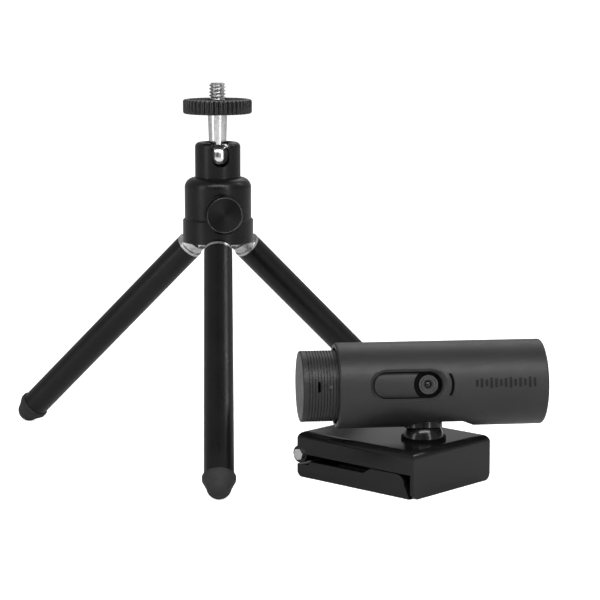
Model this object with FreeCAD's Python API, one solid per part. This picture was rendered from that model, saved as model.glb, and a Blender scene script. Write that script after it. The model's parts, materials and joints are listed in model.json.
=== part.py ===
import FreeCAD, Part
import math
import os

# A mini tripod with a ball head, and beside it a cylindrical webcam that stands on its folded
# monitor clip. Millimetres, +Z up, z = 0 is the surface that both stand on.

V = FreeCAD.Vector
UP = V(0, 0, 1)

# ---------------------------------------------------------------- placing of the two devices
TRIPOD_X, TRIPOD_Y = -17.89, 20.92          # tripod axis
WEBCAM_DX, WEBCAM_DY = 75.3, -66.8          # webcam's neck axis, seen from the tripod axis
CLIP_YAW = -42.7                            # clip's forward direction
BODY_YAW = 7.0                              # direction of the webcam's long axis
BODY_TILT = -9.0                            # the lens looks up by this much

# ---------------------------------------------------------------- tripod legs
LEG_NAMES = ("front", "right", "left")
FRONT_AZIMUTH = -87.9
SPLAY = 46.74                             # leg from vertical, legs open
PIVOT_R, PIVOT_Z = 7.82, 81.3
TUBE_R, TUBE_WALL = 5.35, 0.7
TUBE_START, TUBE_END = 7.2, 109.8         # distances from the pivot along the leg
RING_WIDTH = 1.0
FOOT_START, FOOT_R, FOOT_TIP_R = 107.8, 6.0, 4.5
FOOT_RIM = 1.6                            # straight part of the foot above its taper
TONGUE_R, TONGUE_T = 4.0, 5.0
PIN_R, PIN_HALF = 1.25, 5.5
RUN = 0.05                                # radial clearance of a running fit
GAP = 0.3                                 # free gap between parts that move

# ---------------------------------------------------------------- tripod hub
HUB_BOTTOM, HUB_TOP, HUB_R = 79.0, 88.1, 13.45
HOUSING_TOP, HOUSING_R = 103.6, 12.7
SHOULDER_R, SHOULDER_H = 3.8, 3.6
COLLAR_R, COLLAR_BOTTOM, COLLAR_TOP = 8.65, 96.6, 117.0
BALL_R, BALL_Z = 5.8, 111.5
NOTCH_AZIMUTH, NOTCH_W, NOTCH_BOTTOM = -79.2, 6.9, 107.9
KNOB_AZIMUTH, KNOB_Z, KNOB_R, KNOB_IN, KNOB_OUT = -79.2, 90.7, 7.5, 13.8, 16.7
KNOB_SCREW_R = 2.0
SHAFT_TOP_R, SHAFT_LOW_R = 3.65, 3.15
DISC_BOTTOM, DISC_TOP, DISC_R = 127.8, 133.2, 13.1
SCREW_R, SCREW_TOP = 3.175, 139.4         # 1/4 inch camera screw
SCREW_TIP, SCREW_NECK_R = 0.5, 2.9        # its chamfer, and the plain neck that the disc turns on

# ---------------------------------------------------------------- webcam clip
CLIP_FRONT, CLIP_BACK, CLIP_HALF = 13.3, -41.3, 21.5
CLIP_TOP, ARM_LOW = 16.6, 8.6
CLIP_WALL, LIP_T, EDGE_R = 2.0, 1.5, 2.6
HINGE_X, HINGE_Z, KNUCKLE_R = -40.1, 8.3, 3.2
KNUCKLE_HALF = 13.5                       # the jaw's knuckle lies within this, the arm's outside
HINGE_PIN_R = 1.3
JAW_TOP, JAW_SLOT = 8.2, 6.1
PAD_T = 1.4

# ---------------------------------------------------------------- webcam ball joint
SOCKET_Z, SOCKET_R = 16.5, 7.3
RING_R, RING_TOP = 8.0, 17.6
WELL_R, WELL_TOP, WELL_LOW = 8.65, 15.6, 9.5
FLANGE_R, FLANGE_H = 6.8, 2.1

# ---------------------------------------------------------------- webcam body (along its own X)
AXIS_H = 19.6                             # body axis above the ball's centre
SHELL_R, BORE_R, MOUTH_R = 15.2, 12.9, 13.5
SHELL_LEFT, SHELL_RIGHT, SHELL_NOSE = -31.6, 42.6, 44.0
MOUTH_END, BORE_END = -19.2, 39.8
BORE_FLAT = -11.1                         # flat floor of the bore, keeps the barrel upright
POCKET_DEEP = 1.8
POCKET = (-6.0, -2.4, 13.7, 18.1)
PILL_LEFT, PILL_RIGHT, PILL_H = -19.7, 4.9, 9.5
PILL_BEVEL = 1.5
BARREL_R, BARREL_LEFT, BARREL_END = 12.6, -44.2, 18.5
BARREL_WALL, BARREL_FLAT = 1.6, -10.8
RIDGE_PITCH, RIDGE_DEEP, RIDGES = 1.04, 0.45, 10
PRIVACY_TRAVEL = 11.5
LENS_RECESS_R, LENS_DISC_R, LENS_HOLE_R = 5.3, 3.35, 1.25
LENS_FRONT = -12.0
STOP_X, STOP_R, STOP_LOW = -12.0, 0.9, -13.5


def cyl(r, length, pos=V(0, 0, 0), axis=UP):
    return Part.makeCylinder(r, length, pos, axis)


def ring(r_out, r_in, length, pos=V(0, 0, 0), axis=UP):
    return cyl(r_out, length, pos, axis).cut(cyl(r_in, length, pos, axis))


def block(low, high):
    size = V(*high) - V(*low)
    return Part.makeBox(size.x, size.y, size.z, V(*low))


def polygon(points):
    return Part.Face(Part.makePolygon([V(*p) for p in points + points[:1]]))


def turned(shape, degrees, axis=UP, about=V(0, 0, 0)):
    out = shape.copy()
    out.rotate(about, axis, degrees)
    return out


def moved(shape, offset):
    out = shape.copy()
    out.translate(offset)
    return out


def group(solids):
    return Part.makeCompound(solids)


def edges_of(shape, wanted):
    """Straight edges whose two ends both satisfy wanted(point)."""
    found = []
    for edge in shape.Edges:
        if len(edge.Vertexes) == 2 and all(wanted(v.Point) for v in edge.Vertexes):
            found.append(edge)
    return found


# ================================================================ tripod, in its own frame
def radial(azimuth):
    a = math.radians(azimuth)
    return V(math.cos(a), math.sin(a), 0)


def make_hub():
    """The lower flange: three slots for the leg tongues, holes for pins and screws."""
    hub = cyl(HUB_R, HUB_TOP - HUB_BOTTOM, V(0, 0, HUB_BOTTOM))
    rim = [e for e in hub.Edges if e.Length > 50 and abs(e.BoundBox.ZMax - HUB_TOP) < 0.01
           and abs(e.BoundBox.ZMin - HUB_TOP) < 0.01]
    hub = hub.makeChamfer(0.7, rim)
    slot = block((PIVOT_R - TONGUE_R - 0.5, -TONGUE_T / 2 - 0.2, HUB_BOTTOM - 1),
                 (PIVOT_R + TONGUE_R + 0.25, TONGUE_T / 2 + 0.2, PIVOT_Z + TONGUE_R + 0.5))
    pin = cyl(PIN_R, 2 * PIN_HALF, V(PIVOT_R, -PIN_HALF, PIVOT_Z), V(0, 1, 0))
    for azimuth in LEG_AZIMUTHS:
        hub = hub.cut(turned(slot, azimuth)).cut(turned(pin, azimuth))
    for azimuth in SCREW_AZIMUTHS:
        hub = hub.cut(turned(hub_screw(), azimuth))
    return hub


LEG_AZIMUTHS = [FRONT_AZIMUTH, FRONT_AZIMUTH + 120, FRONT_AZIMUTH + 240]
SCREW_AZIMUTHS = [a + 60 for a in LEG_AZIMUTHS]
HUB_SCREW_R, HUB_SCREW_AT = 1.25, 9.8


def hub_screw():
    head = cyl(2.2, 1.8, V(HUB_SCREW_AT, 0, HUB_BOTTOM + 0.3))
    shank = cyl(HUB_SCREW_R, 12.0, V(HUB_SCREW_AT, 0, HUB_BOTTOM + 2.1))
    return head.fuse(shank)


def make_hub_screws():
    socket = cyl(0.9, 1.0, V(HUB_SCREW_AT, 0, HUB_BOTTOM + 0.3))
    one = hub_screw().cut(socket)
    return group([turned(one, azimuth) for azimuth in SCREW_AZIMUTHS])


def make_leg_pins():
    pin = cyl(PIN_R, 2 * PIN_HALF, V(PIVOT_R, -PIN_HALF, PIVOT_Z), V(0, 1, 0))
    return group([turned(pin, azimuth) for azimuth in LEG_AZIMUTHS])


def make_housing():
    """The upper can: round shoulder, bore for the collar, clamping chamber and knob hole."""
    top, r = HOUSING_TOP, HOUSING_R
    mid = V(r - SHOULDER_R * 0.30, 0, top - SHOULDER_H * 0.30)
    profile = Part.Wire([
        Part.makeLine(V(0, 0, HUB_TOP), V(r, 0, HUB_TOP)),
        Part.makeLine(V(r, 0, HUB_TOP), V(r, 0, top - SHOULDER_H)),
        Part.Arc(V(r, 0, top - SHOULDER_H), mid, V(r - SHOULDER_R, 0, top)).toShape(),
        Part.makeLine(V(r - SHOULDER_R, 0, top), V(0, 0, top)),
        Part.makeLine(V(0, 0, top), V(0, 0, HUB_TOP))])
    body = Part.Face(profile).revolve(V(0, 0, 0), UP, 360)
    body = body.cut(cyl(COLLAR_R + RUN, 20, V(0, 0, COLLAR_BOTTOM - 0.3)))
    body = body.cut(cyl(9.3, 1.2, V(0, 0, 98.4)))
    body = body.cut(cyl(3.2, 12, V(0, 0, HUB_TOP - 0.05)))
    body = body.cut(cyl(KNOB_SCREW_R + RUN, 20, V(0, 0, KNOB_Z), radial(KNOB_AZIMUTH)))
    for azimuth in SCREW_AZIMUTHS:
        body = body.cut(turned(hub_screw(), azimuth))
    return body


def make_retaining_ring():
    """Split ring that holds the collar down in the housing."""
    whole = ring(9.2, 8.05, 0.9, V(0, 0, 98.5))
    return whole.cut(turned(block((0, -1.5, 98), (12, 1.5, 100)), NOTCH_AZIMUTH + 180))


def make_plunger():
    """Clamping plunger: a cone foot that the knob screw lifts, a cupped head under the ball."""
    stem = cyl(3.0, 9.5, V(0, 0, KNOB_Z - 2.2))
    head = cyl(4.9, 8.6, V(0, 0, KNOB_Z + 7.3))
    body = stem.fuse(head)
    body = body.cut(Part.makeSphere(BALL_R + RUN, V(0, 0, BALL_Z)))
    tip = Part.makeCone(2.25, 0.6, 3.0, V(0, 0, KNOB_Z) + radial(KNOB_AZIMUTH) * 3.2,
                        radial(KNOB_AZIMUTH) * -1)
    return body.cut(tip)


def make_plunger_spring():
    """Ring spring in the chamber under the plunger's head."""
    return Part.makeTorus(4.1, 0.35, V(0, 0, 96.65))


def make_collar():
    """Socket collar with the tilt notch; the ball is held under its rolled rim."""
    body = cyl(COLLAR_R, COLLAR_TOP - COLLAR_BOTTOM, V(0, 0, COLLAR_BOTTOM))
    rim = [e for e in body.Edges if e.BoundBox.ZMin > COLLAR_TOP - 0.01]
    body = body.makeFillet(1.8, rim)
    body = body.cut(cyl(BALL_R + RUN, BALL_Z - COLLAR_BOTTOM + 0.5, V(0, 0, COLLAR_BOTTOM - 0.5)))
    body = body.cut(Part.makeSphere(BALL_R + RUN, V(0, 0, BALL_Z)))
    body = body.cut(cyl(4.75, 4, V(0, 0, BALL_Z + 1.9)))
    body = body.cut(Part.makeCone(4.75, 6.2, 1.5, V(0, 0, COLLAR_TOP - 1.2)))
    half, low = NOTCH_W / 2, NOTCH_BOTTOM + NOTCH_W / 2
    notch = block((2.0, -half, low), (12, half, COLLAR_TOP + 1))
    notch = notch.fuse(cyl(half, 10, V(2.0, 0, low), V(1, 0, 0)))
    body = body.cut(turned(notch, NOTCH_AZIMUTH))
    groove = ring(COLLAR_R + 1, 8.0, 1.2, V(0, 0, 98.4))
    return body.cut(groove)


def make_ball_stud():
    """Ball, tapering shaft and the shoulder under the platform disc."""
    ball = Part.makeSphere(BALL_R, V(0, 0, BALL_Z))
    shaft = Part.makeCone(SHAFT_LOW_R, SHAFT_TOP_R, DISC_BOTTOM - GAP - BALL_Z, V(0, 0, BALL_Z))
    return ball.fuse(shaft).cut(cyl(1.6, 5, V(0, 0, DISC_BOTTOM - GAP - 5)))


def make_camera_screw():
    """Camera screw pressed into the stud; a plain neck goes through the disc."""
    base, start = DISC_BOTTOM - GAP, DISC_TOP + 0.1
    thread = cyl(SCREW_R, SCREW_TOP - start, V(0, 0, start))
    tip = [e for e in thread.Edges if e.BoundBox.ZMin > SCREW_TOP - 0.01]
    thread = thread.makeChamfer(SCREW_TIP, tip)
    neck = cyl(SCREW_NECK_R, start - base, V(0, 0, base))
    return thread.fuse([neck, cyl(1.6, 5, V(0, 0, base - 5))])


def make_screw_disc():
    """Platform disc that turns on the camera screw."""
    body = cyl(DISC_R, DISC_TOP - DISC_BOTTOM, V(0, 0, DISC_BOTTOM))
    rims = [e for e in body.Edges if e.Length > 50]
    body = body.makeFillet(0.6, rims)
    body = body.cut(cyl(10.9, 1.2, V(0, 0, DISC_TOP - 1.2)))
    return body.cut(cyl(SCREW_NECK_R + RUN, 8, V(0, 0, DISC_BOTTOM - 1)))


def make_disc_pad():
    return ring(10.9, 4.3, 1.1, V(0, 0, DISC_TOP - 1.2))


def make_lock_knob():
    """Round clamping knob."""
    out = radial(KNOB_AZIMUTH)
    base = V(0, 0, KNOB_Z) + out * KNOB_IN
    body = cyl(KNOB_R, KNOB_OUT - KNOB_IN, base, out)
    face = base + out * (KNOB_OUT - KNOB_IN)
    front = [e for e in body.Edges if e.Length > 40 and (e.CenterOfMass - face).Length < 0.05]
    body = body.makeChamfer(0.6, front)
    return body.cut(cyl(KNOB_SCREW_R, 1.6, base - out * 0.1, out))


def make_knob_screw():
    out = radial(KNOB_AZIMUTH)
    start = V(0, 0, KNOB_Z)
    shank = cyl(KNOB_SCREW_R, KNOB_IN + 1.5 - 5.0, start + out * 5.0, out)
    tip = Part.makeCone(0.7, KNOB_SCREW_R, 1.6, start + out * 3.4, out)
    return shank.fuse(tip)


def leg_axis():
    a = math.radians(SPLAY)
    return V(math.sin(a), 0, -math.cos(a))


def on_leg(distance):
    return V(PIVOT_R, 0, PIVOT_Z) + leg_axis() * distance


def make_leg_plug():
    """Metal plug: tongue with the pivot eye, round shoulder, bright ring, spigot in the tube."""
    axis = leg_axis()
    half = TONGUE_T / 2
    eye = cyl(TONGUE_R, TONGUE_T, V(PIVOT_R, -half, PIVOT_Z), V(0, 1, 0))
    strip = block((0, -half, -TONGUE_R), (TUBE_START - 1.5, half, TONGUE_R))
    strip = turned(strip, 90 - SPLAY, V(0, 1, 0))
    strip.translate(V(PIVOT_R, 0, PIVOT_Z))
    tongue = eye.fuse(strip)
    tongue = tongue.cut(block((PIVOT_R + TONGUE_R - 0.2, -9, HUB_BOTTOM - GAP), (40, 9, 100)))
    shoulder = cyl(4.9, TUBE_START - RING_WIDTH - 3.2, on_leg(3.2), axis)
    shoulder = shoulder.cut(block((0, -9, HUB_BOTTOM - GAP), (40, 9, 100)))
    band = cyl(TUBE_R, RING_WIDTH, on_leg(TUBE_START - RING_WIDTH), axis)
    band = band.cut(block((0, -9, HUB_BOTTOM - GAP), (HUB_R + GAP, 9, 100)))
    spigot = cyl(TUBE_R - TUBE_WALL, 14, on_leg(TUBE_START), axis)
    plug = tongue.fuse([shoulder, band, spigot])
    return plug.cut(cyl(PIN_R + RUN, 20, V(PIVOT_R, -10, PIVOT_Z), V(0, 1, 0))).removeSplitter()


def make_leg_tube():
    length = TUBE_END - TUBE_START
    return ring(TUBE_R, TUBE_R - TUBE_WALL, length, on_leg(TUBE_START), leg_axis())


def foot_tip_centre():
    """Distance along the leg where the foot's round tip just rests on z = 0."""
    return (PIVOT_Z - FOOT_TIP_R) / math.cos(math.radians(SPLAY))


def make_leg_foot():
    """Rubber acorn foot: a rim wider than the tube, a taper and a round tip."""
    axis = leg_axis()
    centre = foot_tip_centre()
    taper_start = FOOT_START + FOOT_RIM
    taper_length = centre + 0.6 - taper_start
    rim = cyl(FOOT_R, FOOT_RIM, on_leg(FOOT_START), axis)
    top = [e for e in rim.Edges if (e.CenterOfMass - on_leg(FOOT_START)).Length < 0.1]
    rim = rim.makeChamfer(0.35, top)
    taper = Part.makeCone(FOOT_R, FOOT_TIP_R - 0.05, taper_length, on_leg(taper_start), axis)
    tip = Part.makeSphere(FOOT_TIP_R, on_leg(centre))
    foot = rim.fuse([taper, tip])
    socket = cyl(TUBE_R, TUBE_END - FOOT_START + 1, on_leg(FOOT_START - 1), axis)
    return foot.cut(socket).removeSplitter()


def tripod_parts():
    parts = {
        "hub_flange": make_hub(),
        "hub_screws": make_hub_screws(),
        "leg_pins": make_leg_pins(),
        "head_housing": make_housing(),
        "retaining_ring": make_retaining_ring(),
        "lock_plunger": make_plunger(),
        "plunger_spring": make_plunger_spring(),
        "socket_collar": make_collar(),
        "ball_stud": make_ball_stud(),
        "camera_screw": make_camera_screw(),
        "platform_disc": make_screw_disc(),
        "disc_pad": make_disc_pad(),
        "lock_knob": make_lock_knob(),
        "knob_screw": make_knob_screw(),
    }
    makers = {"leg_plug": make_leg_plug, "leg_tube": make_leg_tube, "leg_foot": make_leg_foot}
    for kind, maker in makers.items():
        shape = maker()
        for name, azimuth in zip(LEG_NAMES, LEG_AZIMUTHS):
            parts[kind + "_" + name] = turned(shape, azimuth)
    return parts


# ================================================================ clip, +X forward, neck at 0,0
def make_clip_arm():
    """Upper arm, a shell open below, with the full-height lip in front and outer knuckles."""
    bar = block((CLIP_BACK, -CLIP_HALF, ARM_LOW), (CLIP_FRONT, CLIP_HALF, CLIP_TOP))
    lip = block((CLIP_FRONT - LIP_T, -CLIP_HALF, 0), (CLIP_FRONT, CLIP_HALF, CLIP_TOP))
    arm = bar.fuse(lip).removeSplitter()
    on_top = lambda p: abs(p.z - CLIP_TOP) < 0.01 and abs(abs(p.y) - CLIP_HALF) < 0.01
    back_top = lambda p: abs(p.z - CLIP_TOP) < 0.01 and abs(p.x - CLIP_BACK) < 0.01
    arm = arm.makeFillet(EDGE_R, edges_of(arm, on_top) + edges_of(arm, back_top))
    low_corner = lambda p: p.z < 0.01 and abs(abs(p.y) - CLIP_HALF) < 0.01
    arm = arm.makeFillet(EDGE_R, [e for e in edges_of(arm, low_corner) if e.Length < 2])
    inner = block((CLIP_BACK + CLIP_WALL, CLIP_WALL - CLIP_HALF, 0),
                  (CLIP_FRONT - LIP_T - 0.8, CLIP_HALF - CLIP_WALL, CLIP_TOP - 2.0))
    post = cyl(WELL_R + 1.6, CLIP_TOP - 2.0 - ARM_LOW, V(0, 0, ARM_LOW))
    post = post.common(block((-20, -20, 0), (CLIP_FRONT - LIP_T, 20, 20)))
    arm = arm.cut(inner.cut(post).common(block((-60, -30, ARM_LOW), (30, 30, 30))))
    ribs = [block((x, CLIP_WALL - CLIP_HALF, 11.0), (x + 1.2, CLIP_HALF - CLIP_WALL, CLIP_TOP - 2))
            for x in (-28.0, -19.5)]
    arm = arm.fuse(ribs)
    for side in (-1, 1):
        low = KNUCKLE_HALF + GAP if side > 0 else -CLIP_HALF
        length = CLIP_HALF - KNUCKLE_HALF - GAP
        knuckle = cyl(KNUCKLE_R, length, V(HINGE_X, low, HINGE_Z), V(0, 1, 0))
        arm = arm.fuse(knuckle)
    relief = cyl(KNUCKLE_R + GAP, 2 * KNUCKLE_HALF + 2 * GAP,
                 V(HINGE_X, -KNUCKLE_HALF - GAP, HINGE_Z), V(0, 1, 0))
    arm = arm.cut(relief)
    arm = arm.cut(cyl(HINGE_PIN_R, 60, V(HINGE_X, -30, HINGE_Z), V(0, 1, 0)))
    arm = arm.cut(cyl(WELL_R, WELL_TOP - ARM_LOW + 1, V(0, 0, ARM_LOW - 1)))
    return arm.cut(cyl(RING_R, 4, V(0, 0, WELL_TOP - 1))).removeSplitter()


def make_arm_pad():
    """Rubber pad that rests on the top edge of a screen."""
    return block((-33.0, -15.5, ARM_LOW), (-11.2, 15.5, 11.0))


def make_lip_pad():
    """Thin rubber strip behind the lip."""
    return block((CLIP_FRONT - LIP_T - 0.5, -14, 4.6), (CLIP_FRONT - LIP_T, 14, ARM_LOW - 0.2))


def jaw_profile():
    """Side view of the folded jaw: finger slot behind, sloped step, rounded nose in front."""
    nose = CLIP_BACK + 46.9
    x_slot0, x_slot1, x_step = CLIP_BACK + 6.7, CLIP_BACK + 31.3, CLIP_BACK + 35.0
    foot_x = CLIP_FRONT - LIP_T - GAP
    r_back, r_nose = 2.3, 3.4
    k = math.sqrt(0.5)
    back = V(CLIP_BACK, 0, 4.7)
    edges = [
        Part.makeLine(back, V(x_slot0 - 1.5, 0, 4.7)),
        Part.makeLine(V(x_slot0 - 1.5, 0, 4.7), V(x_slot0, 0, JAW_SLOT)),
        Part.makeLine(V(x_slot0, 0, JAW_SLOT), V(x_slot1, 0, JAW_SLOT)),
        Part.makeLine(V(x_slot1, 0, JAW_SLOT), V(x_step, 0, JAW_TOP)),
        Part.makeLine(V(x_step, 0, JAW_TOP), V(nose, 0, JAW_TOP)),
        Part.Arc(V(nose, 0, JAW_TOP), V(nose + r_nose * k, 0, JAW_TOP - r_nose * (1 - k)),
                 V(nose + r_nose, 0, JAW_TOP - r_nose)).toShape(),
        Part.makeLine(V(nose + r_nose, 0, JAW_TOP - r_nose), V(foot_x, 0, 0)),
        Part.makeLine(V(foot_x, 0, 0), V(CLIP_BACK + r_back, 0, 0)),
        Part.Arc(V(CLIP_BACK + r_back, 0, 0),
                 V(CLIP_BACK + r_back * (1 - k), 0, r_back * (1 - k)),
                 V(CLIP_BACK, 0, r_back)).toShape(),
        Part.makeLine(V(CLIP_BACK, 0, r_back), back),
    ]
    return Part.Face(Part.Wire(edges))


def make_clip_jaw():
    """Lower jaw: a tray with side walls, the inner knuckle and the boss of the tripod insert."""
    half = CLIP_HALF
    jaw = moved(jaw_profile(), V(0, -half, 0)).extrude(V(0, 2 * half, 0))
    pocket = block((CLIP_BACK + 9.0, CLIP_WALL - half, 2.0), (CLIP_FRONT - 6.0, half - CLIP_WALL, 12))
    jaw = jaw.cut(pocket)
    knuckle = cyl(KNUCKLE_R, 2 * KNUCKLE_HALF, V(HINGE_X, -KNUCKLE_HALF, HINGE_Z), V(0, 1, 0))
    web = block((HINGE_X - 2.0, -KNUCKLE_HALF, 3.0), (HINGE_X + 2.6, KNUCKLE_HALF, HINGE_Z - 1.5))
    boss = cyl(6.5, 5.5, V(0, 0, 2.0))
    jaw = jaw.fuse([knuckle, web, boss])
    jaw = jaw.cut(cyl(HINGE_PIN_R + RUN, 60, V(HINGE_X, -30, HINGE_Z), V(0, 1, 0)))
    return jaw.cut(cyl(INSERT_R, 10, V(0, 0, -1))).removeSplitter()


INSERT_R, INSERT_BORE, INSERT_H = 4.7, 3.25, 7.0


def make_tripod_insert():
    """Brass insert for a 1/4 inch tripod screw, flush with the underside."""
    body = ring(INSERT_R, INSERT_BORE, INSERT_H)
    return body.fuse(cyl(INSERT_R, 0.5, V(0, 0, INSERT_H)))


def make_jaw_pad():
    """Rubber pad of the jaw, which presses on the back of a screen."""
    return block((-27.0, -15.0, 2.0), (-9.0, 15.0, 2.0 + PAD_T + 2.0))


def make_hinge_pin():
    """Hinge pin with a hexagon head let into the knuckle's end."""
    shank = cyl(HINGE_PIN_R, 2 * CLIP_HALF, V(HINGE_X, -CLIP_HALF, HINGE_Z), V(0, 1, 0))
    return shank.fuse(hexagon(2.2, 1.0, -CLIP_HALF - 1.0))


def hexagon(radius, height, y0):
    points = []
    for i in range(6):
        a = math.radians(60 * i + 12)
        points.append((HINGE_X + radius * math.cos(a), y0, HINGE_Z + radius * math.sin(a)))
    return polygon(points).extrude(V(0, height, 0))


def make_hinge_nut():
    nut = hexagon(2.3, 1.0, CLIP_HALF)
    return nut.cut(cyl(0.6, 3, V(HINGE_X, CLIP_HALF - 1, HINGE_Z), V(0, 1, 0)))


def make_socket_ring():
    """Retaining ring round the ball, proud of the arm."""
    body = cyl(RING_R, RING_TOP - WELL_TOP, V(0, 0, WELL_TOP))
    body = body.cut(Part.makeSphere(SOCKET_R + RUN, V(0, 0, SOCKET_Z)))
    return body.cut(cyl(SOCKET_R - 0.02, 3, V(0, 0, SOCKET_Z + 0.4)))


def make_socket_liner():
    """Nylon friction liner under the ball."""
    body = cyl(WELL_R - RUN, WELL_TOP - 0.2 - 10.6, V(0, 0, 10.6))
    body = body.cut(Part.makeSphere(SOCKET_R + RUN, V(0, 0, SOCKET_Z)))
    return body.cut(cyl(5.0, 10, V(0, 0, 9)))


def make_liner_spring():
    return ring(8.0, 6.2, 0.6, V(0, 0, 9.9))


def make_socket_cover():
    """Cover plate that closes the socket from below."""
    return cyl(WELL_R, WELL_LOW - ARM_LOW, V(0, 0, ARM_LOW))


def clip_parts():
    return {
        "clip_arm": make_clip_arm(),
        "arm_pad": make_arm_pad(),
        "lip_pad": make_lip_pad(),
        "clip_jaw": make_clip_jaw(),
        "jaw_pad": make_jaw_pad(),
        "tripod_insert": make_tripod_insert(),
        "hinge_pin": make_hinge_pin(),
        "hinge_nut": make_hinge_nut(),
        "socket_ring": make_socket_ring(),
        "socket_liner": make_socket_liner(),
        "liner_spring": make_liner_spring(),
        "socket_cover": make_socket_cover(),
    }


# ================================================================ webcam body, lens looks to -Y
X_AXIS = V(1, 0, 0)


def x_cyl(r, x0, x1):
    return cyl(r, x1 - x0, V(x0, 0, 0), X_AXIS)


def d_bore(r, flat, x0, x1):
    return x_cyl(r, x0, x1).common(block((x0, -20, flat), (x1, 20, 20)))


def pill(x0, x1, height, depth, grow=0.0):
    """Stadium-shaped cutter in front of the axis, standing along -Y."""
    r = height / 2 + grow
    a, b = x0 + height / 2, x1 - height / 2
    mid = block((a, -20, -r), (b, -depth, r))
    ends = [cyl(r, 20 - depth, V(x, -20, 0), V(0, 1, 0)) for x in (a, b)]
    return mid.fuse(ends)


def make_shell():
    """Outer tube with the lens window, indicator slit, neck pocket and the port at the back."""
    sagitta = SHELL_NOSE - SHELL_RIGHT
    dome_r = (SHELL_R ** 2 + sagitta ** 2) / (2 * sagitta)
    body = x_cyl(SHELL_R, SHELL_LEFT, SHELL_NOSE + 1)
    mouth = [e for e in body.Edges if e.BoundBox.XMax < SHELL_LEFT + 0.01]
    body = body.makeChamfer(0.5, mouth)
    body = body.common(Part.makeSphere(dome_r, V(SHELL_NOSE - dome_r, 0, 0)))
    nose = [e for e in body.Edges if e.BoundBox.XMin > SHELL_RIGHT - 0.5]
    body = body.makeFillet(0.9, nose[:1])
    body = body.cut(x_cyl(MOUTH_R, SHELL_LEFT - 1, MOUTH_END))
    body = body.cut(d_bore(BORE_R, BORE_FLAT, MOUTH_END - 1, BORE_END))
    body = body.cut(pill(PILL_LEFT, PILL_RIGHT, PILL_H, 5))
    steps = 3
    for i in range(1, steps + 1):
        grow = PILL_BEVEL * i / steps
        body = body.cut(pill(PILL_LEFT, PILL_RIGHT, PILL_H, BORE_R - 0.4 + 1.9 * i / steps, grow))
    slit = ring(8.7, 7.7, 20, V(0, -24, 0), V(0, 1, 0)).common(block((4, -24, -3.9), (12, 0, 3.9)))
    body = body.cut(slit)
    x0, x1, x2, x3 = POCKET
    floor = -SHELL_R + POCKET_DEEP
    cutter = polygon([(x0, -20, -SHELL_R), (x1, -20, floor), (x2, -20, floor), (x3, -20, -SHELL_R),
                      (x3, -20, -SHELL_R - 2), (x0, -20, -SHELL_R - 2)]).extrude(V(0, 40, 0))
    body = body.cut(cutter)
    body = body.cut(cyl(FLANGE_R, 6, V(0, 0, floor - 6)))
    body = body.cut(neck_screw_shape())
    body = body.cut(cyl(STOP_R, 5, V(STOP_X, 0, STOP_LOW)))
    return body.cut(port_cutter())


def port_cutter():
    """Mouth of the cable port in the back of the shell."""
    slot = block((32.2, 0, -1.6), (37.4, 20, 1.6))
    ends = [cyl(1.6, 20, V(x, 0, 0), V(0, 1, 0)) for x in (32.2, 37.4)]
    return slot.fuse(ends)


def neck_screw_shape():
    head = cyl(2.6, 1.1, V(NECK_X, 0, BORE_FLAT - 1.1))
    return head.fuse(cyl(1.25, 6.0, V(NECK_X, 0, BORE_FLAT - 7.1)))


NECK_X = 0.0


def make_neck_screw():
    cross = block((-1.4, -0.3, BORE_FLAT - 0.5), (1.4, 0.3, BORE_FLAT + 1))
    return neck_screw_shape().cut(cross)


def make_neck_ball():
    """Ball and flange that carry the body; built about the body axis like its neighbours."""
    ball = Part.makeSphere(SOCKET_R, V(0, 0, -AXIS_H))
    ball = ball.common(block((-9, -9, -AXIS_H - 5.6), (9, 9, 0)))
    top = -SHELL_R + POCKET_DEEP
    flange = cyl(FLANGE_R, FLANGE_H, V(0, 0, top - FLANGE_H))
    return ball.fuse(flange).cut(neck_screw_shape()).cut(block((-9, -9, top), (9, 9, 0)))


def make_light_guide():
    """Clear crescent behind the indicator slit."""
    arc = ring(8.7, 7.7, 1.6, V(0, -14.5, 0), V(0, 1, 0))
    return arc.common(block((4, -24, -3.9), (12, 0, 3.9)))


def make_stop_pin():
    """Steel pin in the shell's floor that limits the barrel's travel."""
    return cyl(STOP_R, 3.9, V(STOP_X, 0, STOP_LOW))


def make_barrel():
    """Sliding inner barrel: ribbed grip outside, keyed tube inside, lens opening in front."""
    grip_end = SHELL_LEFT + 0.5
    grip = x_cyl(BARREL_R, BARREL_LEFT + 1.4, grip_end)
    keyed = d_bore(BARREL_R, BARREL_FLAT, grip_end, BARREL_END)
    body = grip.fuse(keyed)
    inner = BARREL_R - BARREL_WALL
    body = body.cut(d_bore(inner, BARREL_FLAT + BARREL_WALL, BARREL_LEFT, BARREL_END - 1.6))
    for i in range(RIDGES):
        x = BARREL_LEFT + 1.9 + i * RIDGE_PITCH
        body = body.cut(ring(BARREL_R + 1, BARREL_R - RIDGE_DEEP, RIDGE_PITCH * 0.45,
                             V(x, 0, 0), X_AXIS))
    body = body.cut(cyl(LENS_RECESS_R, 20, V(0, -20, 0), V(0, 1, 0)))
    slot = block((STOP_X - PRIVACY_TRAVEL, -1.2, -12.6), (STOP_X, 1.2, -8.6))
    ends = [cyl(1.2, 4, V(x, 0, -12.6)) for x in (STOP_X - PRIVACY_TRAVEL, STOP_X)]
    body = body.cut(slot.fuse(ends))
    body = body.cut(block((MIC_X - 0.45, -14, -1.8), (MIC_X + 0.45, -8, 1.8)))
    return body.cut(cyl(0.6, 6, V(LED_X, -14, 0), V(0, 1, 0)))


MIC_X, LED_X = -38.6, -34.4


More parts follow.
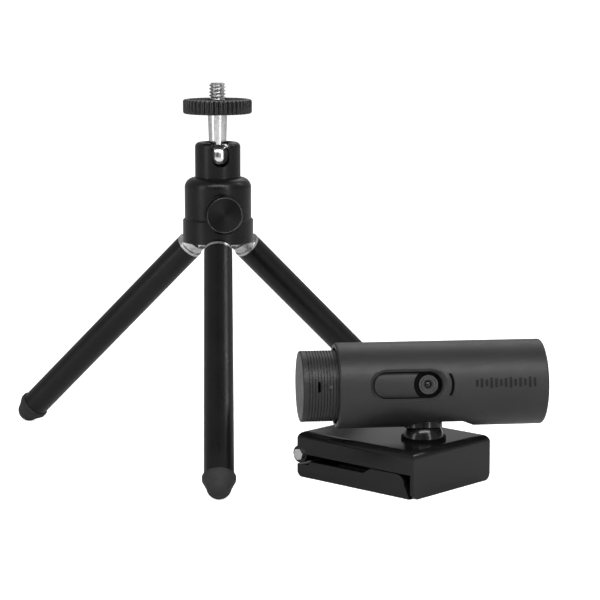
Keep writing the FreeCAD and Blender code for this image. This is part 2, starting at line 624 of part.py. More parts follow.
def make_barrel_cap():
    """Flat end cap of the barrel with a spigot."""
    cap = x_cyl(BARREL_R, BARREL_LEFT, BARREL_LEFT + 1.4)
    rim = [e for e in cap.Edges if e.BoundBox.XMax < BARREL_LEFT + 0.01]
    cap = cap.makeFillet(0.5, rim)
    inner = BARREL_R - BARREL_WALL
    spigot = d_bore(inner, BARREL_FLAT + BARREL_WALL, BARREL_LEFT + 1.4, BARREL_LEFT + 3.0)
    return cap.fuse(spigot).removeSplitter()


SENSOR_SCREWS = ((-5.2, -4.8), (5.2, 4.8))


def make_lens_holder():
    """Black holder: a dark annulus round the lens, standing on the sensor board."""
    tower = cyl(LENS_RECESS_R, 8.6, V(0, LENS_FRONT + 0.7, 0), V(0, 1, 0))
    foot = block((-6.6, -3.1, -6.2), (6.6, -1.9, 6.2))
    body = tower.fuse(foot).removeSplitter()
    body = body.cut(cyl(LENS_DISC_R, 20, V(0, -13, 0), V(0, 1, 0)))
    return body.cut(group([cyl(0.7, 4, V(x, -4, z), V(0, 1, 0)) for x, z in SENSOR_SCREWS]))


def make_lens_barrel():
    """Threaded lens barrel with a shallow cone in front."""
    front = V(0, LENS_FRONT, 0)
    body = cyl(LENS_DISC_R, 7.8, front, V(0, 1, 0))
    body = body.cut(ring(2.75, 2.45, 0.4, front, V(0, 1, 0)))
    body = body.cut(Part.makeCone(1.9, LENS_HOLE_R, 0.9, front, V(0, 1, 0)))
    return body.cut(cyl(LENS_HOLE_R, 10, front, V(0, 1, 0)))


def make_front_lens():
    lens = cyl(LENS_HOLE_R, 1.6, V(0, LENS_FRONT + 0.9, 0), V(0, 1, 0))
    dome = Part.makeSphere(1.7, V(0, LENS_FRONT + 2.05, 0))
    dome = dome.common(cyl(LENS_HOLE_R, 2.5, V(0, LENS_FRONT, 0), V(0, 1, 0)))
    return lens.fuse(dome).removeSplitter()


def make_rear_lens():
    return cyl(LENS_HOLE_R, 1.2, V(0, -6.6, 0), V(0, 1, 0))


def make_ir_filter():
    return block((-2.2, -3.9, -2.2), (2.2, -3.5, 2.2))


def make_image_sensor():
    return block((-2.1, -2.9, -1.8), (2.1, -1.9, 1.8))


def make_sensor_board():
    board = block((-7.5, -1.9, -7.0), (7.5, -0.9, 7.0))
    return board.cut(group([cyl(0.7, 4, V(x, -4, z), V(0, 1, 0)) for x, z in SENSOR_SCREWS]))


def make_sensor_screws():
    screws = []
    for x, z in SENSOR_SCREWS:
        shank = cyl(0.7, 2.2, V(x, -3.1, z), V(0, 1, 0))
        screws.append(shank.fuse(cyl(1.2, 0.8, V(x, -3.9, z), V(0, 1, 0))))
    return group(screws)


def make_main_board():
    """Long board on the barrel's rails, behind the sensor board."""
    return block((-36.0, 1.2, -8.0), (16.0, 2.4, 8.6))


def make_board_parts():
    """Processor, memory, connector and capacitors on the back of the main board."""
    y = 2.4
    parts = [block((-18, y, -4.5), (-9, y + 1.2, 4.5)), block((-6, y, -3), (0, y + 1.0, 4)),
             block((4, y, -4), (12, y + 1.6, -1))]
    parts += [cyl(1.6, 3.0, V(-24, y, z), V(0, 1, 0)) for z in (-4, 0, 4)]
    return group(parts)


def make_microphones():
    """Two capsules on the inner side of the grip, one behind the slot."""
    return group([block((MIC_X - 1.5, -10.2, -2), (MIC_X + 1.5, -9.0, 2)),
                  block((MIC_X - 1.5, 8.8, -2), (MIC_X + 1.5, 10.0, 2))])


def make_status_light():
    return cyl(0.6, 2.6, V(LED_X, -12.5, 0), V(0, 1, 0))


def make_port_board():
    return block((31.5, 1.0, -6.0), (38.2, 2.0, 6.0))


def make_usb_port():
    """Receptacle shell that opens at the back of the body."""
    outer = block((32.2, 2.0, -1.6), (37.4, 13.2, 1.6))
    outer = outer.fuse([cyl(1.6, 11.2, V(x, 2.0, 0), V(0, 1, 0)) for x in (32.2, 37.4)])
    mouth = block((32.2, 4.0, -1.25), (37.4, 14, 1.25))
    mouth = mouth.fuse([cyl(1.25, 10, V(x, 4.0, 0), V(0, 1, 0)) for x in (32.2, 37.4)])
    tongue = block((32.6, 3.5, -0.35), (37.0, 12.0, 0.35))
    return outer.cut(mouth).fuse(tongue).removeSplitter()


def make_flex_ribbon():
    """Ribbon between the boards, folded for the barrel's travel."""
    return block((31.6, -8.0, -4.0), (31.9, 1.0, 4.0)).fuse(
        block((31.6, -8.3, -4.0), (36.0, -8.0, 4.0))).removeSplitter()


BODY_NODES = {
    "camera_shell": make_shell, "neck_screw": make_neck_screw, "neck_ball": make_neck_ball,
    "light_guide": make_light_guide, "stop_pin": make_stop_pin, "port_board": make_port_board,
    "usb_port": make_usb_port, "flex_ribbon": make_flex_ribbon, "barrel": make_barrel,
    "barrel_cap": make_barrel_cap, "lens_holder": make_lens_holder,
    "lens_barrel": make_lens_barrel, "front_lens": make_front_lens, "rear_lens": make_rear_lens,
    "ir_filter": make_ir_filter, "image_sensor": make_image_sensor,
    "sensor_board": make_sensor_board, "sensor_screws": make_sensor_screws,
    "main_board": make_main_board, "board_parts": make_board_parts,
    "microphones": make_microphones, "status_light": make_status_light,
}


def webcam_placed(shape):
    """From the body's own frame to the part's frame."""
    out = moved(shape, V(0, 0, AXIS_H))
    out = turned(out, BODY_TILT, X_AXIS)
    out = moved(out, V(0, 0, SOCKET_Z))
    return moved(turned(out, BODY_YAW), NECK)


TRIPOD = V(TRIPOD_X, TRIPOD_Y, 0)
NECK = TRIPOD + V(WEBCAM_DX, WEBCAM_DY, 0)


def all_parts():
    parts = {name: moved(shape, TRIPOD) for name, shape in tripod_parts().items()}
    for name, shape in clip_parts().items():
        parts[name] = moved(turned(shape, CLIP_YAW), NECK)
    for name, maker in BODY_NODES.items():
        parts[name] = webcam_placed(maker())
    return parts


NODES = all_parts()
os.makedirs("parts", exist_ok=True)
whole = FreeCAD.BoundBox()
for node, shape in NODES.items():
    if not shape.isValid():
        print("not valid:", node)
    whole.add(shape.BoundBox)
    shape.exportStep("parts/" + node + ".step")
print("nodes", len(NODES), "box", whole)
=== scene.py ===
import json
import math

import bmesh
import bpy
from mathutils import Matrix, Vector


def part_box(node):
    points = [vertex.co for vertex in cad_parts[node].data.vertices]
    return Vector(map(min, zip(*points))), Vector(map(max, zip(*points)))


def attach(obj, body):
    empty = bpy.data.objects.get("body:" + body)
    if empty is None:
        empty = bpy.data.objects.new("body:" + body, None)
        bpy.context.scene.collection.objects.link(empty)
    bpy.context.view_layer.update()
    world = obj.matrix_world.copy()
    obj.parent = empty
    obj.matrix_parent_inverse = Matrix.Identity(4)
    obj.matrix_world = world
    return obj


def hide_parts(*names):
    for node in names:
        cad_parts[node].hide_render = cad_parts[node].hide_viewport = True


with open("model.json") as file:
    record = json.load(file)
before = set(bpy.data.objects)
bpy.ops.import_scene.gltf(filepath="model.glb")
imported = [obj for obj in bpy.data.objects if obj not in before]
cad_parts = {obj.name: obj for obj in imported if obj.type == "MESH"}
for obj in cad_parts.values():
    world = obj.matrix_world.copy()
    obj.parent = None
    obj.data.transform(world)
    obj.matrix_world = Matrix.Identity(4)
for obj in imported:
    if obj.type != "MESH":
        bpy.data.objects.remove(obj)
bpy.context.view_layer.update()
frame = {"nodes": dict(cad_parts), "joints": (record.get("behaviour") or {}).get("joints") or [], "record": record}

MM = 0.001
JOINTS = {joint["name"]: joint for joint in frame["joints"]}
MOUNTS = {mount["name"]: mount for mount in frame["record"]["mounts"]}
SLOT_OF = {entry["node"]: entry["material_slot"] for entry in frame["record"]["subparts"]}

# ============================================================ driving sizes, millimetres
# camera: offset from the tripod's axis, height above the floor, pitch in degrees, focal length
CAMERA_SIDE, CAMERA_BACK, CAMERA_HEIGHT = 31.32, 800.0, 178.72
CAMERA_PITCH, CAMERA_LENS, SENSOR_WIDTH = 8.707, 126.26, 36.0
CLIP_NEAR, CLIP_FAR = 0.05, 20.0   # metres
MERGE = 1e-7                       # metres within which a piece's points become one
AXIS_R = 1e-4                      # radius of a lathed point on the axis, small enough to merge

# light tent: its strength at the horizon, overhead, and in the dark slot in front
TENT_LOW, TENT_TOP, SLOT_LIGHT = 0.42, 0.30, 0.12
FLOOR_SIZE = 60.0                  # metres
FLOOR_GLOW, FLOOR_BOUNCE = 0.86, 0.02   # the floor's own light as the camera and as the object see it
KEY_POWER, TOP_POWER, STRIP_POWER, LINE_POWER = 10.0, 2.0, 2.6, 1.6   # watts

PLASTIC_IOR = 1.45
CAD_SHARP, BEVEL_SHARP = 32, 50    # degrees from which an edge stays sharp, or is eased
EASED = {"clip_arm": 0.4, "clip_jaw": 0.3}   # width of a node's eased edges

# tripod head
SCREW_R, SCREW_ROOT, THREAD_PITCH = 3.17, 2.38, 1.27
CREST, THREAD_STEP, TIP_CHAMFER, TIP_SLOPE = 0.12, 0.08, 0.7, 0.9   # CREST is part of the pitch
SUNK = 1.0                         # screw's foot below the disc's top, and pad's below its own
DISC_R, DISC_BORE, DISC_LIP, DISC_RECESS = 13.1, 3.25, 10.9, 1.2
RIM_ROUND, RIM_MID, RIM_STEP, RIM_MARGIN = 0.7, 0.25, 0.2, 0.05
FLUTES, FLUTE_DEPTH, FLUTE_SHARP = 44, 0.85, 0.45
UNEVEN = 0.25                      # how far the flutes wander round the rim, radians of their wave
PAD_BORE, PAD_BASE, PAD_GAP = 4.3, 0.35, 0.02
RIDGE_PITCH, RIDGE_WIDTH, RIDGE_TURN = 1.15, 0.75, 38
RIDGE_MARGIN, RIDGE_ROOT, SHORTEST_RIDGE = 0.1, 0.01, 0.5
KNOB_R, KNOB_BACK, KNOB_FACE = 7.5, 13.8, 16.7   # back and face from the tripod's axis
KNOB_CHAMFER, KNOB_CORNER = 0.5, 0.4
KNOB_RIBS, RIB_DEPTH, RIB_LAND, FACE_SUNK = 56, 0.22, 0.2, 0.12
# the bright ring is a cut edge, in a lighter metal that is partly a painted highlight
RING_IN, RING_DOWN = 0.98, 0.04    # bright ring, in from the knob's side and down from its face
RING_HALF, RING_RISE, RING_SIDES = 0.13, 0.1, 10

# webcam body
BODY_TILT = -9.0                   # turn of the body about its long axis at rest, degrees
AXIS_H = 19.6                      # the body's long axis above its ball's centre
SHELL_R = 15.2
PILL_LEFT, PILL_RIGHT, PILL_H, PILL_BEVEL = -19.7, 4.9, 9.5, 1.5   # the lens window
PILL_STEPS = 28                    # steps round each end of the window
BARS_START, BAR_WIDTH, BAR_STEP, BARS_Z = 16.2, 1.0, 1.72, 0.3
BAR_HEIGHTS = (2.4, 3.2, 2.4, 3.8, 3.2, 2.4, 3.2, 3.8, 2.4, 3.2, 2.4, 3.8, 3.2)
BAR_PROUD, BAR_DEEP, BAR_STEPS = 0.05, 0.12, 5


# ============================================================ local frames, from the record
def basis(origin, x, z):
    """Matrix whose X and Z lie along x and z, at origin, in metres."""
    x, z = Vector(x).normalized(), Vector(z).normalized()
    m = Matrix((x, z.cross(x), z)).transposed().to_4x4()
    m.translation = origin
    return m


screw_at = Vector(MOUNTS["camera_screw"]["pos_m"])
TRIPOD = Matrix.Translation((screw_at.x, screw_at.y, 0))

knob_out = Vector(JOINTS["knob_spin"]["axis"])
knob_at = Vector((screw_at.x, screw_at.y, JOINTS["knob_spin"]["pos_m"][2]))
KNOB = basis(knob_at, (-knob_out.y, knob_out.x, 0), knob_out)

ball_at = Vector(JOINTS["camera_pan"]["pos_m"])
body_x = Vector(JOINTS["camera_tilt"]["axis"])
body_up = Matrix.Rotation(math.radians(BODY_TILT), 3, body_x) @ Vector((0, 0, 1))
BODY = basis(ball_at + body_up * AXIS_H * MM, body_x, body_up)


# ============================================================ shader helpers
MATERIAL = {}    # every material by name


def new_material(name):
    """Adds a material and returns its node tree and its shader."""
    MATERIAL[name] = bpy.data.materials.new(name)
    MATERIAL[name].use_nodes = True
    tree = MATERIAL[name].node_tree
    return tree, tree.nodes["Principled BSDF"]


def object_coords(tree):
    return tree.nodes.new("ShaderNodeTexCoord").outputs["Object"]


def noise(tree, vector, scale, detail=3.0, rough=0.5):
    node = tree.nodes.new("ShaderNodeTexNoise")
    node.inputs["Scale"].default_value = scale
    node.inputs["Detail"].default_value = detail
    node.inputs["Roughness"].default_value = rough
    tree.links.new(vector, node.inputs["Vector"])
    return node.outputs["Fac"]


def as_colour(level):
    """A colour with alpha, from three numbers or from one for a grey."""
    return (*level, 1) if isinstance(level, tuple) else (level, level, level, 1)


def ramp(tree, value, low, high, in_low=0.3, in_high=0.7):
    """Maps value between two numbers or colours."""
    node = tree.nodes.new("ShaderNodeValToRGB")
    first, last = node.color_ramp.elements
    first.position, last.position = in_low, in_high
    first.color, last.color = as_colour(low), as_colour(high)
    tree.links.new(value, node.inputs["Fac"])
    return node.outputs["Color"]


def bump(tree, shader, height, distance):
    node = tree.nodes.new("ShaderNodeBump")
    node.inputs["Distance"].default_value = distance
    tree.links.new(height, node.inputs["Height"])
    tree.links.new(node.outputs["Normal"], shader.inputs["Normal"])


def math_node(tree, operation, *values):
    node = tree.nodes.new("ShaderNodeMath")
    node.operation = operation
    for socket, value in zip(node.inputs, values):
        tree.links.new(value, socket)
    return node.outputs[0]


def camera_ray(tree):
    return tree.nodes.new("ShaderNodeLightPath").outputs["Is Camera Ray"]


# ============================================================ camera, world, floor, lights
def make_camera():
    data = bpy.data.cameras.new("camera")
    data.lens, data.sensor_width = CAMERA_LENS, SENSOR_WIDTH
    data.clip_start, data.clip_end = CLIP_NEAR, CLIP_FAR
    camera = bpy.data.objects.new("camera", data)
    camera.location = (screw_at.x + CAMERA_SIDE * MM, screw_at.y - CAMERA_BACK * MM, CAMERA_HEIGHT * MM)
    camera.rotation_euler = (math.radians(90 - CAMERA_PITCH), 0, 0)
    bpy.context.scene.collection.objects.link(camera)
    bpy.context.scene.camera = camera


def tent_strength(tree):
    """Strength of the light tent: brighter near the horizon, with a dark slot in front."""
    direction = tree.nodes.new("ShaderNodeSeparateXYZ")
    tree.links.new(tree.nodes.new("ShaderNodeTexCoord").outputs["Generated"], direction.inputs[0])
    aside = math_node(tree, "ABSOLUTE", direction.outputs["X"])
    slot = ramp(tree, aside, SLOT_LIGHT, 1.0, in_low=0.08, in_high=0.26)
    behind = ramp(tree, direction.outputs["Y"], 0.0, 1.0, in_low=0.0, in_high=0.1)
    level = ramp(tree, direction.outputs["Z"], TENT_LOW, TENT_TOP, in_low=0.0, in_high=0.95)
    return math_node(tree, "MULTIPLY", math_node(tree, "MAXIMUM", slot, behind), level)


def make_world():
    """Plain white for the camera, and the light tent for everything else."""
    world = bpy.data.worlds.new("studio")
    world.use_nodes = True
    tree = world.node_tree
    seen, tent = tree.nodes["Background"], tree.nodes.new("ShaderNodeBackground")
    for background in (seen, tent):
        background.inputs["Color"].default_value = as_colour(1)
    seen.inputs["Strength"].default_value = 1.0
    tree.links.new(tent_strength(tree), tent.inputs["Strength"])
    choose = tree.nodes.new("ShaderNodeMixShader")
    tree.links.new(camera_ray(tree), choose.inputs[0])
    tree.links.new(tent.outputs[0], choose.inputs[1])
    tree.links.new(seen.outputs[0], choose.inputs[2])
    tree.links.new(choose.outputs[0], tree.nodes["World Output"].inputs["Surface"])
    bpy.context.scene.world = world


def make_floor():
    """A pale floor that glows for the camera and hardly lights the object."""
    bpy.ops.mesh.primitive_plane_add(size=FLOOR_SIZE, location=(0, 0, 0))
    floor = bpy.context.object
    floor.name = "floor"
    tree, shader = new_material("floor_white")
    shader.inputs["Base Color"].default_value = as_colour(0.8)
    shader.inputs["Roughness"].default_value = 0.9
    shader.inputs["Specular IOR Level"].default_value = 0.0
    shader.inputs["Emission Color"].default_value = as_colour(1)
    glow = tree.nodes.new("ShaderNodeMapRange")
    glow.inputs["To Min"].default_value, glow.inputs["To Max"].default_value = FLOOR_BOUNCE, FLOOR_GLOW
    tree.links.new(camera_ray(tree), glow.inputs["Value"])
    tree.links.new(glow.outputs["Result"], shader.inputs["Emission Strength"])
    floor.data.materials.append(MATERIAL["floor_white"])


def area_light(name, location, target, size, power):
    """A rectangular light of size (across, up) at location, aimed at target, all in metres."""
    data = bpy.data.lights.new(name, "AREA")
    data.energy, data.shape = power, "RECTANGLE"
    data.size, data.size_y = size
    light = bpy.data.objects.new(name, data)
    light.location = location
    aim = Vector(target) - Vector(location)
    light.rotation_euler = aim.to_track_quat("-Z", "Y").to_euler()
    bpy.context.scene.collection.objects.link(light)


def make_lights():
    area_light("key", (0.10, -0.80, 0.98), (0.04, 0, 0.04), (1.3, 0.22), KEY_POWER)
    area_light("top_back", (0.15, 0.75, 0.85), (0.03, 0, 0.05), (0.7, 0.7), TOP_POWER)
    area_light("strip_right", (0.62, -0.86, 0.36), (0, 0, 0.08), (0.10, 0.85), STRIP_POWER)
    area_light("strip_left", (-0.88, -0.55, 0.36), (0, 0, 0.08), (0.24, 0.85), STRIP_POWER)
    area_light("leg_line", (0.88, 0.27, 0.85), (0, 0, 0.05), (0.10, 0.5), LINE_POWER)
    bpy.context.scene.view_settings.view_transform = "Standard"


# ============================================================ materials
def grained(name, dark, light, rough, grain=1500, depth=0.00002, cloud=60.0, metallic=0.0, specular=0.5):
    """A moulded, painted or plated surface: cloudy colour, uneven gloss and a fine grain in relief.

    grain and cloud are the noise's repeats per metre, and depth is the grain's in metres.
    """
    tree, shader = new_material(name)
    coords = object_coords(tree)
    tree.links.new(ramp(tree, noise(tree, coords, cloud), dark, light), shader.inputs["Base Color"])
    tree.links.new(ramp(tree, noise(tree, coords, cloud * 3.1, 4), *rough), shader.inputs["Roughness"])
    bump(tree, shader, noise(tree, coords, grain, 2, 0.6), depth)
    shader.inputs["Metallic"].default_value = metallic
    shader.inputs["Specular IOR Level"].default_value = specular
    shader.inputs["IOR"].default_value = PLASTIC_IOR


def metal(name, dark, light, rough, **looks):
    grained(name, dark, light, rough, metallic=1.0, **looks)


def lens_glass():
    """Coated lens glass: dark and glossy, with a faint violet reflection."""
    tree, shader = new_material("lens_glass")
    coords = object_coords(tree)
    colour = ramp(tree, noise(tree, coords, 900), (0.003, 0.003, 0.004), (0.008, 0.0075, 0.011))
    tree.links.new(colour, shader.inputs["Base Color"])
    tree.links.new(ramp(tree, noise(tree, coords, 400), 0.02, 0.05), shader.inputs["Roughness"])
    shader.inputs["Specular IOR Level"].default_value = 0.35
    shader.inputs["Coat Weight"].default_value = 0.25


def circuit_board():
    """Green solder mask with copper tracks showing through as a grid of lines."""
    tree, shader = new_material("circuit_board")
    coords = object_coords(tree)
    brick = tree.nodes.new("ShaderNodeTexBrick")
    brick.inputs["Scale"].default_value = 400
    brick.inputs["Color1"].default_value = (0.012, 0.09, 0.035, 1)
    brick.inputs["Color2"].default_value = (0.018, 0.12, 0.05, 1)
    brick.inputs["Mortar"].default_value = (0.05, 0.2, 0.09, 1)
    tree.links.new(coords, brick.inputs["Vector"])
    tree.links.new(brick.outputs["Color"], shader.inputs["Base Color"])
    tree.links.new(ramp(tree, noise(tree, coords, 300), 0.25, 0.4), shader.inputs["Roughness"])


def spun_black():
    """Black anodised face turned on a lathe: fine rings, and a highlight like a bow tie."""
    tree, shader = new_material("spun_black")
    coords = object_coords(tree)
    rings = tree.nodes.new("ShaderNodeTexWave")
    rings.wave_type, rings.rings_direction = "RINGS", "Z"
    rings.inputs["Scale"].default_value = 700
    rings.inputs["Distortion"].default_value = 0.4
    tree.links.new(coords, rings.inputs["Vector"])
    tree.links.new(ramp(tree, rings.outputs["Fac"], 0.008, 0.028, 0.2, 0.8), shader.inputs["Base Color"])
    tree.links.new(ramp(tree, noise(tree, coords, 200), 0.26, 0.32), shader.inputs["Roughness"])
    shader.inputs["Metallic"].default_value = 1.0
    shader.inputs["Anisotropic"].default_value = 0.95
    tangent = tree.nodes.new("ShaderNodeTangent")
    tangent.direction_type, tangent.axis = "RADIAL", "Z"
    tree.links.new(tangent.outputs[0], shader.inputs["Tangent"])


def tripod_materials():
    grained("black_paint", (0.0035, 0.0035, 0.0037), (0.006, 0.006, 0.0062), (0.26, 0.34),
            grain=2600, specular=0.3)
    grained("black_rubber", (0.019, 0.019, 0.0195), (0.027, 0.027, 0.0275), (0.55, 0.7),
            grain=1800, depth=0.00004, specular=0.3)
    grained("disc_plastic", 0.006, 0.012, (0.24, 0.32), depth=0.00003)
    grained("pad_rubber", 0.012, 0.02, (0.4, 0.55), depth=0.00004, cloud=300, specular=0.4)
    metal("chrome", (0.66, 0.66, 0.665), (0.86, 0.86, 0.865), (0.10, 0.22),
          grain=900, depth=0.00004, cloud=700)
    metal("thread_steel", (0.45, 0.45, 0.455), (0.66, 0.66, 0.665), (0.26, 0.34), depth=0.00003, cloud=700)
    metal("bright_aluminium", (0.45, 0.45, 0.455), (0.62, 0.62, 0.625), (0.28, 0.4),
          grain=1800, depth=0.00003, cloud=400)
    # partly painted highlight: a metal lighter than the knob's, for the bright cut edge round its face
    metal("cut_edge_highlight", 0.03, 0.16, (0.2, 0.35), depth=0.00003, cloud=500)
    metal("steel", (0.52, 0.52, 0.53), (0.62, 0.62, 0.63), (0.18, 0.3))
    metal("brass", (0.62, 0.45, 0.18), (0.72, 0.54, 0.24), (0.2, 0.35))
    spun_black()


def webcam_materials():
    grained("shell_plastic", (0.018, 0.018, 0.0185), (0.023, 0.023, 0.0235), (0.38, 0.46),
            grain=2600, depth=0.00006, specular=0.45)
    grained("clip_plastic", (0.006, 0.006, 0.0062), (0.008, 0.008, 0.0082), (0.2, 0.23),
            grain=3200, depth=0.000002, cloud=30, specular=0.35)
    grained("gloss_black", 0.004, 0.006, (0.05, 0.12), grain=600, depth=0.00001, specular=0.6)
    grained("ball_black", 0.006, 0.009, (0.17, 0.22), grain=2600, depth=0.000004, specular=0.4)
    grained("dark_plastic", 0.004, 0.007, (0.45, 0.6), grain=2000, specular=0.3)
    # painted shade: near black, for slits, holes and gaps that sit in shade
    grained("shadow_black", 0.0008, 0.002, (0.5, 0.65), specular=0.08)
    grained("dim_light", 0.05, 0.08, (0.3, 0.4), depth=0.00003)


def inner_materials():
    grained("lens_metal", (0.045, 0.045, 0.0455), (0.06, 0.06, 0.061), (0.3, 0.4),
            grain=1800, depth=0.00003, cloud=500)
    lens_glass()
    grained("clear_plastic", (0.35, 0.35, 0.36), (0.45, 0.45, 0.46), (0.15, 0.3))
    grained("nylon", (0.6, 0.6, 0.57), (0.7, 0.7, 0.67), (0.4, 0.5))
    circuit_board()


# nodes that look different from the rest of their material slot; shadow_black paints shade, near black, on the
# light guide, microphones, lens holder and socket ring
SPECIAL = {"lock_plunger": "dark_plastic", "light_guide": "shadow_black", "status_light": "dim_light",
           "microphones": "shadow_black", "lens_barrel": "lens_metal", "lens_holder": "shadow_black",
           "socket_ring": "shadow_black", "neck_ball": "ball_black"}


def ease_edges(obj, width):
    bevel = obj.modifiers.new("eased_edges", "BEVEL")
    bevel.width, bevel.segments = width * MM, 2
    bevel.limit_method, bevel.angle_limit = "ANGLE", math.radians(BEVEL_SHARP)
    bevel.harden_normals = True


def dress_cad_nodes():
    for node, obj in frame["nodes"].items():
        obj.data.materials.clear()
        obj.data.materials.append(MATERIAL[SPECIAL.get(node, SLOT_OF[node])])
        obj.data.shade_smooth()
        obj.data.set_sharp_from_angle(angle=math.radians(CAD_SHARP))
        if node in EASED:
            ease_edges(obj, EASED[node])


# ============================================================ mesh helpers, local millimetres
def new_piece(name, bm, matrix, body, material, sharp):
    """Turns bm into a finished piece that rides on body; sharp is in degrees."""
    bmesh.ops.remove_doubles(bm, verts=bm.verts, dist=MERGE)
    bmesh.ops.recalc_face_normals(bm, faces=bm.faces)
    mesh = bpy.data.meshes.new(name)
    bm.to_mesh(mesh)
    bm.free()
    mesh.materials.append(MATERIAL[material])
    mesh.shade_smooth()
    mesh.set_sharp_from_angle(angle=math.radians(sharp))
    obj = bpy.data.objects.new(name, mesh)
    bpy.context.scene.collection.objects.link(obj)
    obj.matrix_world = matrix
    bpy.context.view_layer.update()
    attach(obj, body)
    return obj


def add_face(bm, points):
    bm.faces.new([bm.verts.new(Vector(p) * MM) for p in points])


def grid(bm, rows):
    """Quads between rows of points, each row closed on itself."""
    made = [[bm.verts.new(Vector(p) * MM) for p in row] for row in rows]
    for low, high in zip(made, made[1:]):
        for i in range(len(low)):
            j = (i + 1) % len(low)
            bm.faces.new((low[i], low[j], high[j], high[i]))


def lathe(outline, segments, warp=None):
    """Turns (radius, z) pairs round Z; warp(radius, z, angle) may change the radius."""
    bm = bmesh.new()
    rows = []
    for r, z in outline:
        row = []
        for i in range(segments):
            a = 2 * math.pi * i / segments
            radius = max(warp(r, z, a) if warp else r, AXIS_R)
            row.append((radius * math.cos(a), radius * math.sin(a), z))
        rows.append(row)
    grid(bm, rows)
    return bm


# ============================================================ tripod head in detail
def make_thread(disc_top):
    """The camera screw, with a V thread that runs out at its chamfered tip."""
    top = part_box("camera_screw")[1].z / MM
    foot = disc_top - SUNK

    def thread(r, z, a):
        if r < SCREW_ROOT:
            return r
        phase = (z / THREAD_PITCH - a / (2 * math.pi)) % 1.0
        cut = max(0.0, abs(phase - 0.5) * 2 - CREST) / (1 - CREST)
        limit = SCREW_R - max(0.0, z - (top - TIP_CHAMFER)) * TIP_SLOPE
        return min(SCREW_R - (SCREW_R - SCREW_ROOT) * cut, limit)

    steps = int((top - foot) / THREAD_STEP)
    outline = [(0, foot)] + [(SCREW_R, foot + THREAD_STEP * i) for i in range(steps)]
    outline += [(SCREW_R, top), (0, top)]
    threaded = new_piece("camera_screw_thread", lathe(outline, 96, thread), TRIPOD, "stud",
                         "thread_steel", sharp=40)
    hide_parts("camera_screw")


def make_disc(low, top):
    """The platform disc: coarse flutes round its rim, a little uneven as cast."""
    def fluted(r, z, a):
        if r < DISC_R - RIM_ROUND - RIM_MARGIN:
            return r
        wave = abs(math.cos(a * FLUTES / 2 + UNEVEN * math.sin(5 * a)))
        return r - FLUTE_DEPTH * (1 - wave ** FLUTE_SHARP)

    rim = [(DISC_R - RIM_ROUND, 0), (DISC_R - RIM_MID, RIM_STEP), (DISC_R, RIM_ROUND)]
    outline = [(DISC_BORE, low)] + [(r, low + up) for r, up in rim]
    outline += [(r, top - up) for r, up in reversed(rim)]
    bed = top - DISC_RECESS
    outline += [(DISC_LIP, top), (DISC_LIP, bed), (DISC_BORE, bed), (DISC_BORE, low)]
    disc = new_piece("platform_disc_knurled", lathe(outline, 12 * FLUTES, fluted), TRIPOD, "disc",
                     "disc_plastic", sharp=28)
    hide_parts("platform_disc")


def ridge_bars(bm, inner, outer, z0, z1):
    """Parallel bars across a ring, cut off at its inner and outer edge."""
    turn = Matrix.Rotation(math.radians(RIDGE_TURN), 3, "Z")
    half = RIDGE_WIDTH / 2
    count = int(outer / RIDGE_PITCH)
    for d in [k * RIDGE_PITCH for k in range(-count, count + 1)]:
        section = [(d - half, z0), (d - half / 2, z1), (d + half / 2, z1), (d + half, z0)]
        far = math.sqrt(max(outer ** 2 - (abs(d) + half) ** 2, 0))
        near = math.sqrt(max(inner ** 2 - d ** 2, 0))
        spans = [(near, far), (-far, -near)] if near else [(-far, far)]
        for start, end in spans:
            if end - start < SHORTEST_RIDGE:
                continue
            rows = [[turn @ Vector((x, y, z)) for x, z in section] for y in (start, end)]
            grid(bm, rows)
            for row in rows:
                add_face(bm, row)


def make_pad():
    """The ribbed rubber pad in the disc."""
    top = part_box("disc_pad")[1].z / MM
    edge, base, foot = DISC_LIP - PAD_GAP, top - PAD_BASE, top - SUNK
    bm = lathe([(PAD_BORE, foot), (edge, foot), (edge, base), (PAD_BORE, base), (PAD_BORE, foot)], 128)
    ridge_bars(bm, PAD_BORE + RIDGE_MARGIN, DISC_LIP - RIDGE_MARGIN, base - RIDGE_ROOT, top)
    pad = new_piece("disc_pad_ridged", bm, TRIPOD, "disc", "pad_rubber", sharp=20)
    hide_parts("disc_pad")


def make_knob():
    """The lock knob: fine ribs round it, and a turned face inside a raised edge."""
    def ribbed(r, z, a):
        return r - RIB_DEPTH * (0.5 + 0.5 * math.cos(KNOB_RIBS * a)) if r > KNOB_R - RIB_LAND else r

    # below the face, in from the side
    profile = ((1.0, 0.0), (0.8, 0.35), (0.1, 0.75), (0.0, 0.95), (FACE_SUNK, 1.1))
    outline = [(0, KNOB_BACK), (KNOB_R - KNOB_CHAMFER, KNOB_BACK), (KNOB_R, KNOB_BACK + KNOB_CORNER)]
    outline += [(KNOB_R - inset, KNOB_FACE - below) for below, inset in profile]
    outline += [(0, KNOB_FACE - FACE_SUNK)]
    knob = new_piece("lock_knob_turned", lathe(outline, 8 * KNOB_RIBS, ribbed), KNOB, "knob",
                     "spun_black", sharp=25)
    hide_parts("lock_knob")


def make_knob_ring():
    """The bright line cut round the knob's raised edge, in a lighter metal that also paints in that edge's
    highlight.
    """
    turns = [2 * math.pi * i / RING_SIDES for i in range(RING_SIDES + 1)]
    middle_r, middle_z = KNOB_R - RING_IN, KNOB_FACE - RING_DOWN
    outline = [(middle_r - RING_HALF * math.cos(t), middle_z + RING_RISE * math.sin(t)) for t in turns]
    new_piece("lock_knob_edge", lathe(outline, 160), KNOB, "knob", "cut_edge_highlight", sharp=60)


# ============================================================ webcam body in detail
def on_shell(x, z, radius):
    return (x, -math.sqrt(radius ** 2 - z ** 2), z)


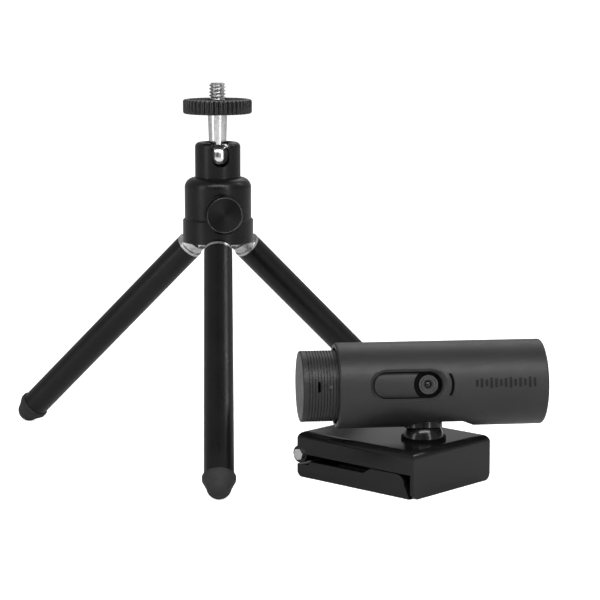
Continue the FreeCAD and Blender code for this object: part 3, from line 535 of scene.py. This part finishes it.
def pill(grow, depth):
    """The window's outline, grown outwards, on a cylinder that far below the shell's surface."""
    r = PILL_H / 2 + grow
    ends = ((PILL_RIGHT - PILL_H / 2, -90), (PILL_LEFT + PILL_H / 2, 90))
    turns = [(centre, math.radians(start + 180 * i / PILL_STEPS))
             for centre, start in ends for i in range(PILL_STEPS + 1)]
    return [on_shell(centre + r * math.cos(a), r * math.sin(a), SHELL_R - depth) for centre, a in turns]


def make_window():
    """The bevel from the shell down to the lens window, and a near-black strip inside it that paints the shade of
    the gap at the window's inner edge.

    Each step is the growth of the window's outline and its depth below the shell.
    """
    bevel = ((PILL_BEVEL + 0.22, 0.06), (PILL_BEVEL + 0.08, 0), (PILL_BEVEL - 0.12, 0.06),
             (0.3, 1.6), (0, 1.95), (-0.06, 2.2))
    # painted shade: a near-black strip where the gap at the window's inner edge is dark
    shade_strip = ((0.05, 2.2), (-0.06, 2.3), (-0.42, 2.46))
    for name, steps, material, slot_name in (
            ("lens_window_bevel", bevel, "shell_plastic", "shell_plastic"),
            ("lens_window_shade_strip", shade_strip, "shadow_black", "dark_plastic")):
        bm = bmesh.new()
        grid(bm, [pill(grow, depth) for grow, depth in steps])
        new_piece(name, bm, BODY, "camera", material, sharp=50)


def plate(bm, x0, x1, z0, z1):
    """Thin plate that follows the shell, with its four edges closed."""
    def row(x, radius):
        return [on_shell(x, z0 + (z1 - z0) * i / BAR_STEPS, radius) for i in range(BAR_STEPS + 1)]

    loops = [row(x, SHELL_R - BAR_DEEP) + row(x, SHELL_R + BAR_PROUD)[::-1] for x in (x0, x1)]
    grid(bm, loops)
    for loop in loops:
        for k in range(BAR_STEPS):
            add_face(bm, (loop[k], loop[k + 1], loop[-k - 2], loop[-k - 1]))


def make_bars():
    """A plain row of small bars, where a maker would put a mark."""
    bm = bmesh.new()
    for i, height in enumerate(BAR_HEIGHTS):
        x = BARS_START + i * BAR_STEP
        plate(bm, x, x + BAR_WIDTH, BARS_Z - height / 2, BARS_Z + height / 2)
    new_piece("shell_bars", bm, BODY, "camera", "dark_plastic", sharp=20)


tripod_materials()
webcam_materials()
inner_materials()
make_camera()
make_world()
make_floor()
make_lights()
dress_cad_nodes()
disc_low, disc_top = (corner.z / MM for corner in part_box("platform_disc"))
make_thread(disc_top)
make_disc(disc_low, disc_top)
make_pad()
make_knob()
make_knob_ring()
make_window()
make_bars()
